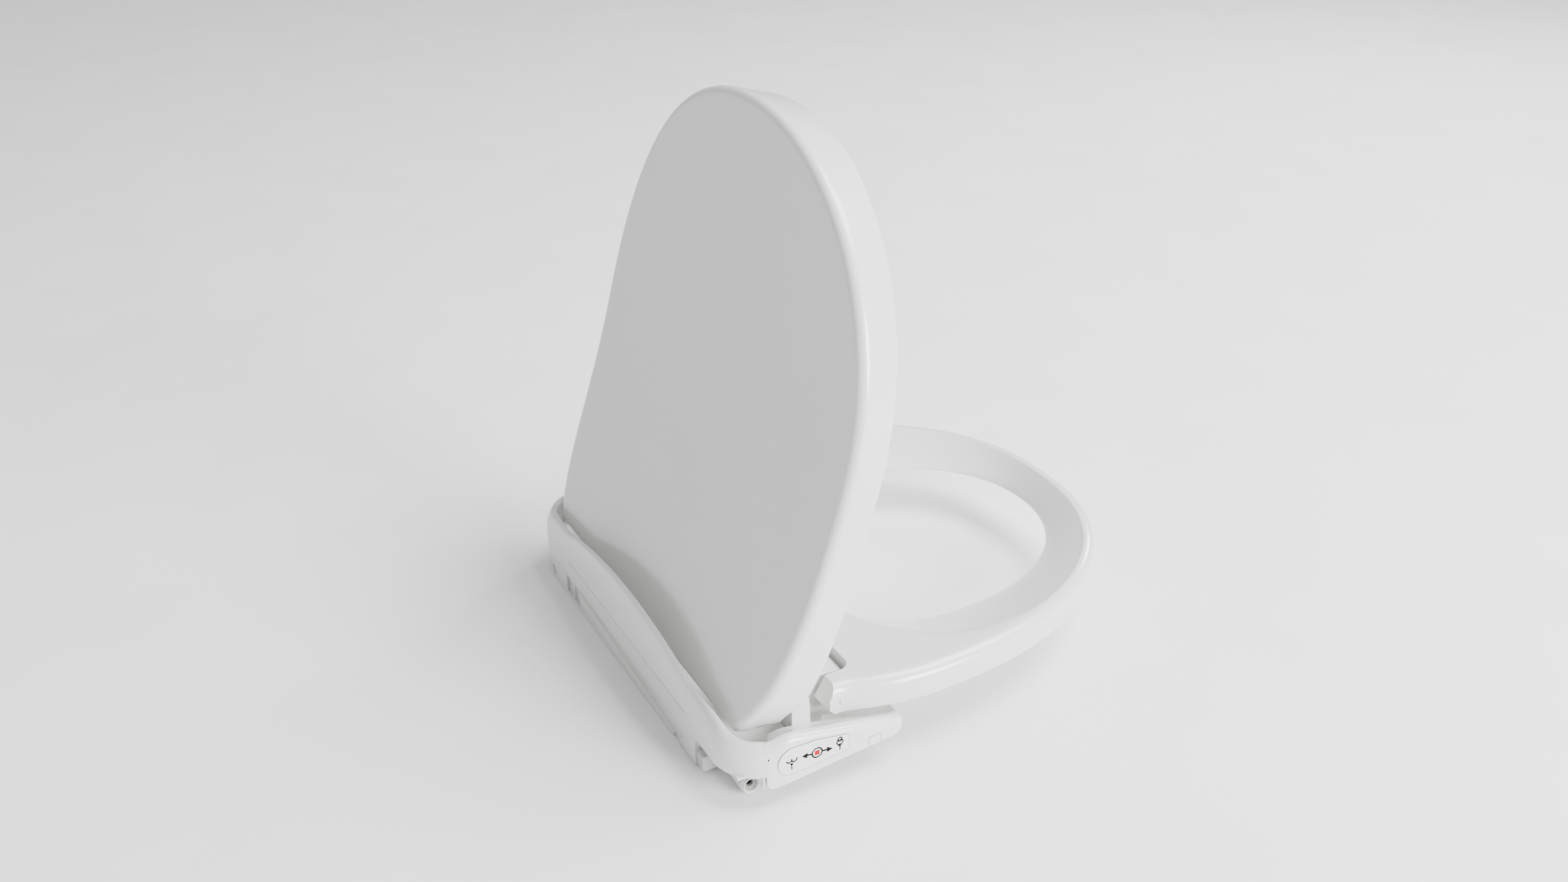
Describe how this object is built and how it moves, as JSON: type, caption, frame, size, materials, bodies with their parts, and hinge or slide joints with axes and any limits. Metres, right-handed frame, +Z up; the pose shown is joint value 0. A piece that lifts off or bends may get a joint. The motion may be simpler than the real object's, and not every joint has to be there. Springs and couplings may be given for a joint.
{
  "type": "bidet_seat",
  "caption": "Bidet seat with raised lid, dished seat ring, rear housing with two sliding spray nozzles, side control arm with printed legend and a threaded water inlet",
  "frame": {"origin": "Centre of the two slotted fixing holes in the mounting bracket, on the plane where the base rests on the bowl", "axes": "+X towards the side without the control arm, -Y towards the front of the bowl, +Z up"},
  "size_m": [0.376, 0.395, 0.4254],
  "materials": {
    "white_gloss": "gloss",
    "white_under": "satin",
    "panel_film": "satin film",
    "legend_ink": "printed ink",
    "buffer_rubber": "soft matte",
    "seal_rubber": "matte",
    "hose_rubber": "silicone hose",
    "inner_plastic": "moulded matte",
    "nozzle_plastic": "gloss",
    "steel": "stainless"
  },
  "bodies": {
    "base": {"base_tray": "white_under", "rear_cover": "white_gloss", "deck_cover": "white_gloss", "hinge_knuckles": "white_gloss", "lid_hinge_cheeks": "white_gloss", "lid_axles": "steel", "seat_axles": "steel", "lid_damper": "inner_plastic", "seat_damper": "inner_plastic", "arm_shell": "white_gloss", "arm_base": "white_under", "legend_panel": "panel_film", "legend_icons": "legend_ink", "service_tab": "white_gloss", "valve_body": "inner_plastic", "inlet_spigot": "white_under", "inlet_washer": "seal_rubber", "inlet_filter": "steel", "check_valve": "inner_plastic", "supply_hose": "hose_rubber", "rear_hose": "hose_rubber", "front_hose": "hose_rubber", "nozzle_guide": "inner_plastic", "mount_bracket": "inner_plastic", "cover_screws": "steel", "arm_screws": "steel"},
    "lid": {"lid_shell": "white_gloss", "lid_hinge_lugs": "white_gloss", "lid_bumpers": "buffer_rubber"},
    "seat": {"seat_top": "white_gloss", "seat_base": "white_gloss", "seat_hinge_barrels": "white_gloss", "seat_bumpers": "buffer_rubber"},
    "rear_spray": {"rear_nozzle": "nozzle_plastic"},
    "front_spray": {"front_nozzle": "nozzle_plastic"},
    "selector": {"valve_core": "inner_plastic", "selector_lever": "white_gloss"},
    "release": {"release_button": "white_under"}
  },
  "joints": [
    {"name": "lid_hinge", "type": "hinge", "parent": "base", "child": "lid", "pos_m": [0, 0.007, 0.065], "axis": [-1, 0, 0], "range_deg": [-75, 18]},
    {"name": "seat_hinge", "type": "hinge", "parent": "base", "child": "seat", "pos_m": [0, -0.043, 0.051], "axis": [-1, 0, 0], "range_deg": [0, 77]},
    {"name": "rear_nozzle_slide", "type": "slide", "parent": "base", "child": "rear_spray", "axis": [0, -0.9903, -0.1392], "range_m": [0, 0.045], "stiffness_N_per_m": 20, "springref_m": -0.01},
    {"name": "front_nozzle_slide", "type": "slide", "parent": "base", "child": "front_spray", "axis": [0, -0.9903, -0.1392], "range_m": [0, 0.045], "stiffness_N_per_m": 20, "springref_m": -0.01},
    {"name": "selector_turn", "type": "hinge", "parent": "base", "child": "selector", "pos_m": [-0.17, -0.046, 0.0269], "axis": [1, 0, 0], "range_deg": [-25, 25]},
    {"name": "release_push", "type": "slide", "parent": "base", "child": "release", "axis": [1, 0, 0], "range_m": [0, 0.003], "stiffness_N_per_m": 400, "springref_m": -0.001}
  ]
}
